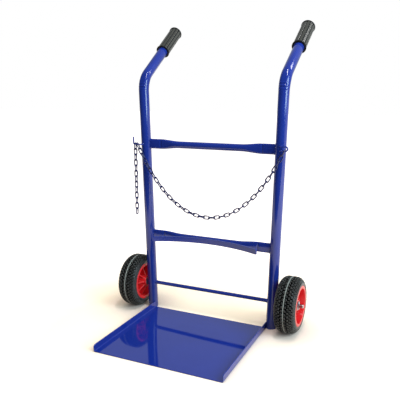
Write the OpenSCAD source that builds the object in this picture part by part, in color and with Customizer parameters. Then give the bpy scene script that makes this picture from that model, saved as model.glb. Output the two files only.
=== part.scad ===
// Two-wheeled hand cart for an oxygen and an acetylene cylinder.
// Two bent tube uprights carry two crossbars, a toe plate, a wheel axle and a retaining chain.
// X runs across the cart, +Y to its back, +Z up. The floor is z = 0, and the origin is the
// middle of the toe plate's underside.

/* [Uprights] */
// Outside diameter of the upright tubes
tube_d = 38; // [30:0.5:46]
// Wall of the upright tubes
tube_wall = 2; // [1.5:0.25:4]
// Distance between the two tubes' centres at the floor
foot_spacing = 500; // [440:5:600]
// Angle by which each upright leans outwards
splay = 1.4; // [0:0.1:3]

/* [Handles] */
// Height at which the tubes start to bend backwards
bend_height = 855; // [800:5:1000]
// Radius of the bend, to the tube's centre line
bend_radius = 80; // [60:5:200]
// Angle of the bend
bend_angle = 54.5; // [30:0.5:70]
// Bare tube between the bend and the grip
bare_handle = 150; // [60:1:200]

/* [Grips] */
// Length of a grip between its outer faces
grip_length = 141; // [100:1:180]
// Outside diameter of the grip's ribbed sleeve
grip_d = 49; // [46.5:0.5:52]
// Diameter of the flange at each end of a grip
grip_flange_d = 53; // [52.5:0.5:66]
// Thickness of the flanges
grip_flange_t = 3.5; // [3:0.5:8]
// Number of lengthwise grooves round a grip
grip_grooves = 12; // [8:1:16]
// Depth of the grooves
grip_groove_depth = 1.9; // [0.8:0.1:2]

/* [Crossbars] */
// Outside diameter of the crossbar tube
bar_d = 26; // [22:0.5:32]
// Wall of the crossbar tube
bar_wall = 2; // [1.5:0.25:3]
// Height of a crossbar's flattened end
bar_end_height = 37; // [34:0.5:40]
// Thickness of a crossbar's flattened end
bar_end_t = 13; // [10:0.5:16]
// Length of the end that is fully flat
bar_end_length = 48; // [15:1:60]
// Length over which the tube goes from round to flat
bar_taper_length = 78; // [40:1:110]
// Height of the upper crossbar's centre line
upper_bar_height = 660; // [600:5:740]
// Height of the lower crossbar's centre line
lower_bar_height = 305; // [270:1:380]

/* [Cylinder saddle] */
// Width of the saddle's steel strip
saddle_width = 20; // [14:1:30]
// Thickness of the strip
saddle_t = 5; // [3:0.5:8]
// Distance between the strip's two ends
saddle_span = 416; // [340:2:440]
// How far the ends stand forward of the middle
saddle_depth = 50; // [25:1:75]
// Radius of the strip's end corners
saddle_corner_r = 5; // [2:0.5:6]

/* [Toe plate] */
// How far each side of the toe plate lies inside its upright's centre line
plate_inset = 14; // [8:0.5:15]
// Depth of the toe plate from front to back
plate_depth = 413; // [300:1:480]
// How far the plate's coped back edge reaches past the tubes' fronts
plate_overlap = 8; // [6:0.5:14]
// Thickness of the folded sheet
plate_t = 3; // [2:0.5:5]
// Height of the side flanges
flange_height = 25; // [15:1:50]
// Inside radius of the folds
fold_r = 3; // [1:0.5:6]
// Radius of the flanges' top front corners
flange_corner_r = 8; // [2:0.5:12]

/* [Wheels] */
// Outside diameter of a tyre
tyre_d = 207; // [190:1:240]
// Width of a tyre
tyre_width = 80; // [78:1:90]
// Diameter of the rim that the tyre sits on
rim_d = 142; // [130:1:150]
// Radius of the tyre's shoulders
shoulder_r = 28; // [12:1:28]
// Width of the rim between the tyre's beads
rim_width = 72; // [60:1:75]
// Height of the lip that holds the tyre on the rim
rim_lip = 2.5; // [1:0.5:4]
// Wall of the rim's barrel
rim_wall = 7; // [4:0.5:10]
// Diameter of the hub boss
boss_d = 40; // [34:1:48]
// How far the boss stands out of the wheel's middle towards the upright
boss_inner_reach = 45; // [44:0.5:52]
// How far the boss stands out of the wheel's middle away from the cart
boss_outer_reach = 27; // [26:0.5:36]
// Thickness of the web between the boss and the barrel
web_t = 6; // [4:0.5:10]
// Number of ribs on each side of the web
rib_count = 8; // [4:1:10]
// Thickness of a rib
rib_t = 6; // [4:0.5:8]
// Outside diameter of the bushes in the hub
bush_d = 24; // [20:0.5:28]
// Length of a bush
bush_length = 22; // [16:1:30]

/* [Axle] */
// Diameter of the axle rod
axle_d = 14; // [12:0.5:16]
// Outside diameter of the washers
washer_d = 32; // [26:1:36]
// Thickness of the washer between an upright and its wheel
inner_washer_t = 3; // [2:0.5:8]
// Thickness of the washer outside a wheel
outer_washer_t = 2.5; // [1.5:0.5:5]
// Diameter of the split pins
pin_d = 4; // [3:0.5:5]
// Length by which the axle passes the split pins' centres
axle_end = 16; // [5:0.5:24]

/* [Chain] */
// Thickness of the chain's wire
wire_d = 4; // [3:0.25:4.25]
// Distance from one link to the next
link_pitch = 21; // [19:0.5:24]
// Width of a link over its wire
link_width = 15.5; // [15:0.25:17]
// Number of links in the swag between the uprights
swag_links = 39; // [35:2:43]
// Number of links in the tail that hangs from the hook
tail_links = 13; // [4:1:14]
// Height of the hook and the eye
anchor_height = 658; // [600:2:700]
// Distance from the uprights' centre plane forward to the chain
chain_forward = 29; // [28:0.5:40]
// Distance from an upright's centre line sideways to the swag's end
anchor_reach = 21; // [18:0.5:28]
// Thickness of the rod that the hook and the eye are bent from
hook_rod_d = 5; // [4:0.25:5.5]
// Height of the hook's upright tip
hook_tip = 28; // [15:1:50]

/* [Fits] */
// Gap between pieces that are welded or clamped together
seat_gap = 0.1; // [0.05:0.05:0.3]
// Gap round a shaft that turns
run_gap = 0.08; // [0.03:0.01:0.1]
// Gap between moving pieces that lie side by side
side_gap = 0.3; // [0.2:0.05:0.6]

/* [Hidden] */

$fn = 64;
eps = 0.01;
left = -1;
right = 1;

paint = "mediumblue";
chain_paint = "midnightblue";
rubber = "dimgray";
tyre_rubber = "black";
red_plastic = "crimson";
zinc = "silver";
nylon = "ivory";

tube_r = tube_d / 2;
// the toe plate's back edge is coped to the uprights
upright_y = plate_depth / 2 + tube_r - plate_overlap;
// the tyres stand on the floor
axle_height = tyre_d / 2;
// half the width of an upright across X, where it leans
tube_half_x = tube_r / cos(splay);

// Half the distance between the uprights' centre lines at a height above the floor
function half_span(height) = foot_spacing / 2 + height * tan(splay);

handle_length = bare_handle + grip_length;
grip_cap_t = grip_flange_t;
join_length = 1;
join_extra = 0.05;
grip_bore = tube_d + 2 * join_extra + 2 * seat_gap;

plate_half = foot_spacing / 2 - plate_inset;

inner_washer_x = half_span(axle_height + washer_d / 2) + tube_half_x + seat_gap;
wheel_inner_x = inner_washer_x + inner_washer_t + side_gap;
wheel_centre_x = wheel_inner_x + boss_inner_reach;
outer_washer_x = wheel_centre_x + boss_outer_reach + side_gap;
pin_x = outer_washer_x + outer_washer_t + pin_d / 2 + seat_gap;
axle_half = pin_x + axle_end;
rim_r = rim_d / 2;
hub_bore_r = bush_d / 2 + seat_gap;
tyre_seat_r = rim_r + seat_gap;

// The chain hangs in a plane in front of the uprights, its ends on rods that run along X
chain_y = upright_y - chain_forward;
anchor_span = half_span(anchor_height);
anchor_x = anchor_span + anchor_reach;
arm_bend_r = hook_rod_d;
arm_root_x = anchor_span + tube_r / 4;
tail_x = anchor_x + link_width / 2 + wire_d / 2 + side_gap;
hook_tip_x = tail_x + wire_d / 2 + arm_bend_r + side_gap;
eye_bend_x = anchor_x + wire_d;
eye_rise = 3 * hook_rod_d;

link_inner = link_pitch + side_gap;
link_end_r = (link_width - wire_d) / 2;
link_straight = link_inner + wire_d - 2 * link_end_r;

// The swag hangs as a catenary, z = a * cosh(x / a)
function cosh(v) = (exp(v) + exp(-v)) / 2;
function sinh(v) = (exp(v) - exp(-v)) / 2;
function asinh(v) = ln(v + sqrt(v * v + 1));
function hang_length(a) = 2 * a * sinh(anchor_x / a);
function halve(length, low, high, turns) = turns == 0 ? (low + high) / 2
    : hang_length((low + high) / 2) > length
        ? halve(length, (low + high) / 2, high, turns - 1)
        : halve(length, low, (low + high) / 2, turns - 1);
function hang_scale(length) = halve(length, anchor_x / 8, anchor_x * 8, 40);
// Distance from an end link's centre to the rod it hangs on, when it crosses the rod at an angle
function hold(slope) = (link_inner + wire_d) / 2
    - ((wire_d + hook_rod_d) / 2 + side_gap) / sin(slope);
rough_length = swag_links * link_pitch;
end_slope = atan(rough_length / 2 / hang_scale(rough_length));
end_hold = hold(end_slope);
swag_length = (swag_links - 1) * link_pitch + 2 * end_hold;
catenary_a = hang_scale(swag_length);
swag_bottom = anchor_height - catenary_a * (cosh(anchor_x / catenary_a) - 1);
// Distance along the chain from its lowest point to the centre of link i
function link_run(i) = end_hold - swag_length / 2 + i * link_pitch;
function link_slope(i) = atan(link_run(i) / catenary_a);
function link_x(i) = catenary_a * asinh(link_run(i) / catenary_a);
function link_z(i) = swag_bottom + catenary_a * (cosh(link_x(i) / catenary_a) - 1);

// ---- helpers ----

// Moves children into the frame of one upright: its foot at the origin, its centre line along Z
module on_upright(side) {
    translate([side * foot_spacing / 2, upright_y, 0])
        rotate([0, side * splay, 0])
            children();
}

// Moves children from an upright's foot to the upper end of its bend
module on_bend_end() {
    translate([0, bend_radius, bend_height])
        rotate([-bend_angle, 0, 0])
            translate([0, -bend_radius, 0])
                children();
}

// A ring-shaped tube section; extra makes its wall thicker on both sides
module tube_section(extra) {
    difference() {
        circle(r = tube_r + extra);
        circle(r = tube_r - tube_wall - extra);
    }
}

// The tube along an upright's bent centre line, from below the floor to its end in the grip.
// The straight handle reaches back round the end of the bend and is a hair thicker.
module bent_tube() {
    translate([0, 0, -tube_d])
        linear_extrude(bend_height + tube_d)
            tube_section(0);
    translate([0, bend_radius, bend_height])
        rotate([90, 0, -90])
            rotate_extrude(angle = bend_angle)
                translate([bend_radius, 0])
                    tube_section(0);
    on_bend_end()
        translate([0, 0, -join_length])
            linear_extrude(handle_length + join_length - grip_cap_t - seat_gap)
                tube_section(join_extra);
}

// A cylinder along X, from x1 to x2
module x_rod(d, x1, x2) {
    translate([x1, 0, 0])
        rotate([0, 90, 0])
            cylinder(d = d, h = x2 - x1);
}

// A ring along X, from x1 to x2
module x_ring(d, bore, x1, x2) {
    difference() {
        x_rod(d, x1, x2);
        x_rod(bore, x1 - 1, x2 + 1);
    }
}

// A rectangle with round corners
module round_rectangle(width, height, r) {
    square([width - 2 * r, height], center = true);
    square([width, height - 2 * r], center = true);
    for (x = [-1, 1], y = [-1, 1])
        translate([x * (width / 2 - r), y * (height / 2 - r)])
            circle(r = r);
}

// The space that an upright takes up, with the gap that pieces fitted to it leave
module upright_space(side) {
    on_upright(side)
        translate([0, 0, -tube_d])
            cylinder(d = tube_d + 2 * seat_gap, h = bend_height + tube_d);
}

// One welded chain link, its length along X and its width along Y
module link() {
    for (end = [-1, 1]) {
        translate([end * link_straight / 2, 0, 0])
            rotate([0, 0, -end * 90])
                rotate_extrude(angle = 180)
                    translate([link_end_r, 0])
                        circle(d = wire_d, $fn = 24);
        translate([-link_straight / 2, end * link_end_r, 0])
            rotate([0, 90, 0])
                cylinder(d = wire_d, h = link_straight, $fn = 24);
    }
}

// ---- frame ----

module upright(side) {
    color(paint)
        difference() {
            on_upright(side)
                bent_tube();
            translate([side * foot_spacing / 2 - tube_d, upright_y - tube_d, -2 * tube_d])
                cube(2 * tube_d);
            translate([0, upright_y, axle_height])
                x_rod(axle_d + 2 * seat_gap, -axle_half, axle_half);
        }
}

// A flattened outline across a crossbar, its height along Z once the bar lies along X
module flat_end(t, height) {
    square([height - t, t], center = true);
    for (end = [-1, 1])
        translate([end * (height - t) / 2, 0])
            circle(d = t);
}

// Half of a crossbar's skin, from the middle out to its flattened end
module half_bar(length, d, t, height) {
    round_length = length - bar_end_length - bar_taper_length;
    rotate([0, 90, 0]) {
        cylinder(d = d, h = round_length);
        hull() {
            translate([0, 0, round_length])
                cylinder(d = d, h = eps, $fn = 32);
            translate([0, 0, length - bar_end_length - eps])
                linear_extrude(eps)
                    flat_end(t, height, $fn = 32);
        }
        translate([0, 0, length - bar_end_length])
            linear_extrude(bar_end_length)
                flat_end(t, height);
    }
}

module crossbar(height) {
    length = half_span(height) - tube_r / 2;
    color(paint)
        difference() {
            translate([0, upright_y, height])
                difference() {
                    for (turn = [0, 180])
                        rotate([0, 0, turn])
                            half_bar(length, bar_d, bar_end_t, bar_end_height);
                    for (turn = [0, 180])
                        rotate([0, 0, turn])
                            half_bar(length + 1, bar_d - 2 * bar_wall,
                                bar_end_t - 2 * bar_wall, bar_end_height - 2 * bar_wall);
                }
            upright_space(left);
            upright_space(right);
        }
}

module cylinder_saddle() {
    half = saddle_span / 2;
    inner_r = (half * half + saddle_depth * saddle_depth) / (2 * saddle_depth);
    front_y = upright_y - bar_d / 2 - seat_gap - saddle_t;
    color(paint)
        intersection() {
            translate([0, front_y - inner_r, lower_bar_height - saddle_width])
                difference() {
                    cylinder(r = inner_r + saddle_t, h = 2 * saddle_width, $fn = 180);
                    translate([0, 0, -1])
                        cylinder(r = inner_r, h = 2 * saddle_width + 2, $fn = 180);
                }
            translate([0, upright_y, lower_bar_height])
                rotate([90, 0, 0])
                    linear_extrude(2 * saddle_depth)
                        round_rectangle(saddle_span, saddle_width, saddle_corner_r);
        }
}

// What is cut off a corner to round it: a square less its quarter circle
module corner_cut(length, r) {
    linear_extrude(length)
        difference() {
            translate([0, -2 * r])
                square(2 * r);
            circle(r = r);
            translate([-1, 0])
                square(3 * r);
        }
}

// A filled trough section with round lower corners, its bottom at a height above the floor
module trough(half, bottom, top, r) {
    translate([-half + r, bottom])
        square([2 * (half - r), top - bottom]);
    translate([-half, bottom + r])
        square([2 * half, top - bottom - r]);
    for (side = [left, right])
        translate([side * (half - r), bottom + r])
            circle(r = r);
}

module toe_plate() {
    color(paint)
        difference() {
            translate([0, plate_depth / 2, 0])
                rotate([90, 0, 0])
                    linear_extrude(plate_depth)
                        difference() {
                            trough(plate_half, 0, flange_height, fold_r + plate_t);
                            trough(plate_half - plate_t, plate_t, flange_height + plate_t,
                                fold_r);
                        }
            translate([-plate_half - 1, flange_corner_r - plate_depth / 2,
                    flange_height - flange_corner_r])
                rotate([0, 90, 0])
                    corner_cut(2 * plate_half + 2, flange_corner_r);
            upright_space(left);
            upright_space(right);
        }
}

// ---- axle and wheels ----

module axle() {
    color(paint)
        translate([0, upright_y, axle_height])
            difference() {
                x_rod(axle_d, -axle_half, axle_half);
                for (side = [left, right])
                    translate([side * pin_x, 0, -axle_d])
                        cylinder(d = pin_d + 2 * seat_gap, h = 2 * axle_d);
            }
}

module inner_washers() {
    color(zinc)
        translate([0, upright_y, axle_height])
            for (turn = [0, 180])
                rotate([0, 0, turn])
                    x_ring(washer_d, axle_d + 2 * run_gap, inner_washer_x,
                        inner_washer_x + inner_washer_t);
}

module outer_washers() {
    color(zinc)
        translate([0, upright_y, axle_height])
            for (turn = [0, 180])
                rotate([0, 0, turn])
                    x_ring(washer_d, axle_d + 2 * run_gap, outer_washer_x,
                        outer_washer_x + outer_washer_t);
}

// A split pin down through the axle, with a round eye on top and a bent leg below
module split_pin() {
    eye_r = pin_d;
    top = axle_d / 2 + eye_r;
    foot = -axle_d / 2 - pin_d / 2;
    translate([0, 0, foot])
        cylinder(d = pin_d, h = top - foot);
    translate([0, 0, top + eye_r - pin_d / 4])
        rotate([90, 0, 90])
            rotate_extrude()
                translate([eye_r, 0])
                    circle(d = pin_d / 2);
    translate([0, pin_d, foot])
        rotate([-90, 0, -90])
            rotate_extrude(angle = 60)
                translate([pin_d, 0])
                    circle(d = pin_d);
}

module split_pins() {
    color(zinc)
        for (side = [left, right])
            translate([side * pin_x, upright_y, axle_height])
                split_pin();
}

// Moves children to one wheel's centre, with +X pointing away from the cart
module on_wheel(side) {
    translate([side * wheel_centre_x, upright_y, axle_height])
        rotate([0, 0, side < 0 ? 180 : 0])
            children();
}

// A tyre's section: X is the radius, Y the distance from the wheel's middle
module tyre_section() {
    tread_half = tyre_width / 2 - shoulder_r;
    shoulder_x = tyre_d / 2 - shoulder_r;
    bead_half = rim_width / 2 - seat_gap;
    bead_top = tyre_seat_r + rim_lip;
    difference() {
        union() {
            translate([0, -tread_half])
                square([tyre_d / 2, 2 * tread_half]);
            for (side = [-1, 1])
                translate([shoulder_x, side * tread_half])
                    circle(r = shoulder_r);
            polygon([
                [bead_top - 1, -bead_half],
                [bead_top, -bead_half],
                [shoulder_x, -tyre_width / 2],
                [shoulder_x, tyre_width / 2],
                [bead_top, bead_half],
                [bead_top - 1, bead_half]
            ]);
        }
        translate([-1, -tyre_width])
            square([tyre_seat_r + 1, 2 * tyre_width]);
        translate([-1, bead_half])
            square([bead_top + 1, tyre_width]);
        translate([-1, -bead_half - tyre_width])
            square([bead_top + 1, tyre_width]);
    }
}

module tyre(side) {
    color(tyre_rubber)
        on_wheel(side)
            rotate([0, 90, 0])
                rotate_extrude($fn = 96)
                    tyre_section();
}

// The barrel with its lips, the web and the boss: X is the radius, Y points to the upright
module rim_section() {
    barrel_r = rim_r - rim_wall;
    translate([barrel_r, -rim_width / 2])
        square([rim_wall, rim_width]);
    for (side = [-1, 1])
        translate([barrel_r, side * (rim_width + rim_lip) / 2 - rim_lip / 2])
            square([rim_wall + rim_lip, rim_lip]);
    translate([hub_bore_r, -web_t / 2])
        square([barrel_r - hub_bore_r + rim_wall / 2, web_t]);
    translate([hub_bore_r, -boss_outer_reach])
        square([boss_d / 2 - hub_bore_r, boss_inner_reach + boss_outer_reach]);
}

module rim(side) {
    barrel_r = rim_r - rim_wall;
    rib_low = rim_width / 4;
    color(red_plastic)
        on_wheel(side) {
            rotate([0, -90, 0])
                rotate_extrude($fn = 96)
                    rim_section();
            for (i = [0 : rib_count - 1])
                rotate([i * 360 / rib_count, 0, 0])
                    rotate([90, 0, 0])
                        linear_extrude(rib_t, center = true)
                            polygon([
                                [rib_t - boss_inner_reach, boss_d / 2 - 1],
                                [-rib_low, barrel_r + 1],
                                [rib_low, barrel_r + 1],
                                [boss_outer_reach - rib_t / 2, boss_d / 2 - 1]
                            ]);
        }
}

module bushes(side) {
    color(nylon)
        on_wheel(side) {
            x_ring(bush_d, axle_d + 2 * run_gap, -boss_inner_reach,
                bush_length - boss_inner_reach);
            x_ring(bush_d, axle_d + 2 * run_gap, boss_outer_reach - bush_length,
                boss_outer_reach);
        }
}

// ---- grips ----

module grip(side) {
    color(rubber)
        on_upright(side)
            on_bend_end()
                translate([0, 0, bare_handle])
                    difference() {
                        union() {
                            cylinder(d = grip_flange_d, h = grip_flange_t);
                            translate([0, 0, grip_flange_t])
                                linear_extrude(grip_length - 2 * grip_flange_t)
                                    grip_section();
                            translate([0, 0, grip_length - grip_flange_t])
                                cylinder(d = grip_flange_d, h = grip_flange_t);
                        }
                        translate([0, 0, -1])
                            cylinder(d = grip_bore, h = grip_length - grip_cap_t + 1);
                    }
}

// A grip's round section with its lengthwise grooves
module grip_section() {
    difference() {
        circle(d = grip_d);
        for (i = [0 : grip_grooves - 1])
            rotate(i * 360 / grip_grooves)
                translate([grip_d / 2, 0])
                    circle(r = grip_groove_depth);
    }
}

// ---- chain ----

// A rod from the right upright's front forward to the chain's plane and then out along X
module arm(end_x) {
    translate([arm_root_x, chain_y + arm_bend_r, 0])
        rotate([-90, 0, 0])
            cylinder(d = hook_rod_d, h = chain_forward);
    translate([arm_root_x + arm_bend_r, chain_y + arm_bend_r, 0])
        rotate([0, 0, 180])
            rotate_extrude(angle = 90)
                translate([arm_bend_r, 0])
                    circle(d = hook_rod_d);
    translate([arm_root_x + arm_bend_r, chain_y, 0])
        rotate([0, 90, 0])
            cylinder(d = hook_rod_d, h = end_x - arm_root_x - arm_bend_r);
}

// An arm on the left upright that turns up into an open tip
module chain_hook() {
    bend_x = hook_tip_x - arm_bend_r;
    color(paint)
        difference() {
            mirror([1, 0, 0])
                translate([0, 0, anchor_height]) {
                    arm(bend_x);
                    translate([bend_x, chain_y, arm_bend_r])
                        rotate([90, 0, 0])
                            rotate([0, 0, -90])
                                rotate_extrude(angle = 90)
                                    translate([arm_bend_r, 0])
                                        circle(d = hook_rod_d);
                    translate([hook_tip_x, chain_y, arm_bend_r])
                        cylinder(d = hook_rod_d, h = hook_tip - arm_bend_r);
                }
            upright_space(left);
        }
}

// A closed eye on the right upright: two arms one above the other, joined by a bow
module chain_eye() {
    color(paint)
        difference() {
            translate([0, 0, anchor_height]) {
                for (level = [0, eye_rise])
                    translate([0, 0, level])
                        arm(eye_bend_x);
                translate([eye_bend_x, chain_y, eye_rise / 2])
                    rotate([90, 0, 0])
                        rotate([0, 0, -90])
                            rotate_extrude(angle = 180)
                                translate([eye_rise / 2, 0])
                                    circle(d = hook_rod_d);
            }
            upright_space(right);
        }
}

module swag_chain() {
    color(chain_paint)
        for (i = [0 : swag_links - 1])
            translate([link_x(i), chain_y, link_z(i)])
                rotate([0, -link_slope(i), 0])
                    rotate([90 * (i % 2), 0, 0])
                        link();
}

module tail_chain() {
    color(chain_paint)
        for (i = [0 : tail_links - 1])
            translate([-tail_x, chain_y, anchor_height - hold(90) - i * link_pitch])
                rotate([0, 90, 0])
                    rotate([90 * (i % 2), 0, 0])
                        link();
}

upright(left);  // left_upright
upright(right);  // right_upright
crossbar(upper_bar_height);  // upper_crossbar
crossbar(lower_bar_height);  // lower_crossbar
cylinder_saddle();
toe_plate();
axle();
grip(left);  // left_grip
grip(right);  // right_grip
chain_hook();
chain_eye();
swag_chain();
tail_chain();
tyre(left);  // left_tyre
tyre(right);  // right_tyre
rim(left);  // left_rim
rim(right);  // right_rim
bushes(left);  // left_bushes
bushes(right);  // right_bushes
inner_washers();
outer_washers();
split_pins();
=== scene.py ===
# %% [markdown]
# # A cart for an oxygen and an acetylene cylinder
#
# The cart is a welded frame of blue powder-coated tube. It has a folded toe plate, two rubber
# tyres on red plastic rims, ribbed rubber grips and a chain that holds the cylinders.
# The solids of its working parts come in as a fixed frame, and this notebook dresses them.

import math

import bmesh
import bpy
from mathutils import Euler, Matrix, Vector


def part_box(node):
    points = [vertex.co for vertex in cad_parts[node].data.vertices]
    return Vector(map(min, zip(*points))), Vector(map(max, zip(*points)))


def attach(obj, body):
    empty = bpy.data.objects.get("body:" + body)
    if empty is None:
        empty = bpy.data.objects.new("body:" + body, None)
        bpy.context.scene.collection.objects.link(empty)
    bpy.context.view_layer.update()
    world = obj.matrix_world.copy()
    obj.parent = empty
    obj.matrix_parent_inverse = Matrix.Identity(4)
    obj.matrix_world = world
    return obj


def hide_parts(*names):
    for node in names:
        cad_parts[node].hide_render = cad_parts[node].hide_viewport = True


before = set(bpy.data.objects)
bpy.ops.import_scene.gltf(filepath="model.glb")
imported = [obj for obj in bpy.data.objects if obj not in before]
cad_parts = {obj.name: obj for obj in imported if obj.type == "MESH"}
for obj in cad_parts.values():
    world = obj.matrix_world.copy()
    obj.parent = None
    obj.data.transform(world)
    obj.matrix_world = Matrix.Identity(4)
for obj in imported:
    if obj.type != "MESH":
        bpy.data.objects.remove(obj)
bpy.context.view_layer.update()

# %% [markdown]
# ## Measures
#
# Every size is in metres. X runs across the cart, Y towards its back and Z up from the floor.
# What the frame can tell is read from its boxes, so the pieces stay on their solids.

# %% Measures of the frame
SIDES = {-1: "left", 1: "right"}
TUBE_R = 0.019
TUBE_WALL = 0.002
FOOT_HALF = 0.25
SPLAY = math.radians(1.4)
BEND_Z = 0.855
BEND_R = 0.08
BEND_ANGLE = math.radians(54.5)
BARE_HANDLE = 0.150
GRIP_LENGTH = 0.141


def box_middle(node):
    """The middle of a solid node's box."""
    low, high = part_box(node)
    return (Vector(low) + Vector(high)) / 2


AXLE = box_middle("axle")
WHEEL = {side: box_middle(f"{name}_tyre") for side, name in SIDES.items()}
print("axle at", [round(v, 4) for v in AXLE], "wheels at x", round(WHEEL[1].x, 4))


def half_span(z):
    """Half the distance between the uprights' centre lines at height z."""
    return FOOT_HALF + z * math.tan(SPLAY)


# %% [markdown]
# ## Camera
#
# The cart is seen from its front, a little from the right and from above. The camera's place,
# turn and lens come from a perspective fit. A small lens shift puts the cart in the frame.

# %% Camera
CAMERA_AT = Vector((0.7727, -1.5072, 0.8479))
CAMERA_TURN = 0.4205
CAMERA_DIP = 0.2210
CAMERA_ROLL = 0.0022
SENSOR_MM = 36
LENS_MM = 46.81
LENS_SHIFT = 0.025

camera_data = bpy.data.cameras.new("camera")
camera_data.sensor_fit = "HORIZONTAL"
camera_data.sensor_width = SENSOR_MM
camera_data.lens = LENS_MM
camera_data.shift_x = -LENS_SHIFT
camera_data.shift_y = LENS_SHIFT
camera_data.clip_end = 100
camera = bpy.data.objects.new("camera", camera_data)
bpy.context.scene.collection.objects.link(camera)
turn = Euler((math.pi / 2 - CAMERA_DIP, 0, CAMERA_TURN)).to_matrix()
turn = turn @ Matrix.Rotation(CAMERA_ROLL, 3, "Z")
camera.matrix_world = Matrix.Translation(CAMERA_AT) @ turn.to_4x4()
bpy.context.scene.camera = camera
bpy.context.scene.view_settings.view_transform = "Standard"
print("camera:", round(camera_data.lens, 2), "mm lens at", [round(v, 3) for v in CAMERA_AT])

# %% [markdown]
# ## Helpers for node trees
#
# A node tree reads best when each step is one line. `feed` sets an input to a number or links
# it to another node, and the other helpers build on it.

# %% Helpers for node trees
def feed(tree, socket, value):
    """Sets an input socket to a value, or links it to an output socket."""
    if isinstance(value, bpy.types.NodeSocket):
        tree.links.new(value, socket)
    else:
        socket.default_value = value


def add_node(tree, kind, outlet=0, settings=(), **inputs):
    """Adds a node, feeds the named inputs and returns one of its outputs."""
    node = tree.nodes.new(kind)
    for name, value in dict(settings).items():
        setattr(node, name, value)
    for name, value in inputs.items():
        feed(tree, node.inputs[name.replace("_", " ")], value)
    return node.outputs[outlet]


def calculate(tree, operation, first, second):
    """The outlet of a math node."""
    node = tree.nodes.new("ShaderNodeMath")
    node.operation = operation
    feed(tree, node.inputs[0], first)
    feed(tree, node.inputs[1], second)
    return node.outputs[0]


def blend_colors(tree, factor, first, second):
    """The colour outlet of a mix node."""
    node = tree.nodes.new("ShaderNodeMix")
    node.data_type = "RGBA"
    feed(tree, node.inputs[0], factor)
    feed(tree, node.inputs[6], first)
    feed(tree, node.inputs[7], second)
    return node.outputs[2]


def empty_material(name):
    """A material whose node tree is still empty."""
    material = bpy.data.materials.new(name)
    material.use_nodes = True
    material.node_tree.nodes.clear()
    return material


# %% [markdown]
# ## Floor
#
# The floor is a white sheet that reaches far behind the cart but only a step in front of it.
# Beyond that step the studio is dim, which the upright tubes mirror. Part of the sheet's white
# is a glow that only the camera and reflections see. Near the cart the glow is painted dimmer
# and warmer, as painted warm shade. It also fades where something stands close above the sheet,
# as a painted contact shadow under the tyres and beside the plate. The rest of the white is
# lit, so near the cart the sheet keeps a soft, warm shadow.

# %% Floor
FLOOR_HALF = 20
FLOOR_FRONT = -0.87
# Near the cart the glow is dimmer and warmer: painted warm shade.
GLOW_NEAR_PAINTED_SHADE = (0.57, 0.52, 0.35, 1)
GLOW_FAR = (1, 1, 1, 1)
GLOW_NEAR_TO = 0.5
GLOW_FAR_FROM = 1.2
FLOOR_LIT = (0.78, 0.63, 0.56, 1)
# Reach and depth of the painted contact shadow in the glow.
PAINTED_SHADE_REACH = 0.16
PAINTED_SHADE_DEPTH = 3.2

floor_white = empty_material("floor_white")
tree = floor_white.node_tree
path = tree.nodes.new("ShaderNodeLightPath")
seen = calculate(tree, "MAXIMUM", path.outputs["Is Camera Ray"], path.outputs["Is Glossy Ray"])
place = add_node(tree, "ShaderNodeTexCoord", outlet="Object")
distance = tree.nodes.new("ShaderNodeVectorMath")
distance.operation = "LENGTH"
tree.links.new(place, distance.inputs[0])
far = add_node(tree, "ShaderNodeMapRange", Value=distance.outputs["Value"],
               From_Min=GLOW_NEAR_TO, From_Max=GLOW_FAR_FROM)
glow_color_painted_shade = blend_colors(tree, far, GLOW_NEAR_PAINTED_SHADE, GLOW_FAR)
# Ambient occlusion dims the glow under close parts: a painted contact shadow.
painted_contact_shade = add_node(tree, "ShaderNodeAmbientOcclusion", outlet="AO", Distance=PAINTED_SHADE_REACH)
glow_after_painted_shade = calculate(tree, "MULTIPLY", seen, calculate(tree, "POWER", painted_contact_shade, PAINTED_SHADE_DEPTH))
floor_glow = add_node(tree, "ShaderNodeEmission", Color=glow_color_painted_shade, Strength=glow_after_painted_shade)
floor_lit = add_node(tree, "ShaderNodeBsdfDiffuse", Color=FLOOR_LIT)
both = tree.nodes.new("ShaderNodeAddShader")
tree.links.new(floor_glow, both.inputs[0])
tree.links.new(floor_lit, both.inputs[1])
floor_out = tree.nodes.new("ShaderNodeOutputMaterial")
tree.links.new(both.outputs[0], floor_out.inputs["Surface"])

floor_mesh = bpy.data.meshes.new("floor")
bm = bmesh.new()
bmesh.ops.create_grid(bm, x_segments=1, y_segments=1, size=FLOOR_HALF)
bmesh.ops.translate(bm, verts=[v for v in bm.verts if v.co.y < 0],
                    vec=(0, FLOOR_HALF + FLOOR_FRONT, 0))
bm.to_mesh(floor_mesh)
bm.free()
floor_mesh.materials.append(floor_white)
floor = bpy.data.objects.new("floor", floor_mesh)
bpy.context.scene.collection.objects.link(floor)
print("floor: starts at y", FLOOR_FRONT, "m")

# %% [markdown]
# ## World
#
# The camera sees a plain white world, and as a light it is soft and even. Glossy paint sees a
# studio that is pale behind the cart and nearly dark in front of it. That keeps the blue deep
# where the tubes face the camera and lays a pale veil over the toe plate, which mirrors the
# back wall at a flat angle.

# %% World
WORLD_LIGHT = 0.42
MIRRORED_FRONT = 0.02
MIRRORED_BACK = 0.58
STUDIO_FRONT = -0.3
STUDIO_BACK = 0.7
SKY = (0.94, 1.0, 1.0, 1)

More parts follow.
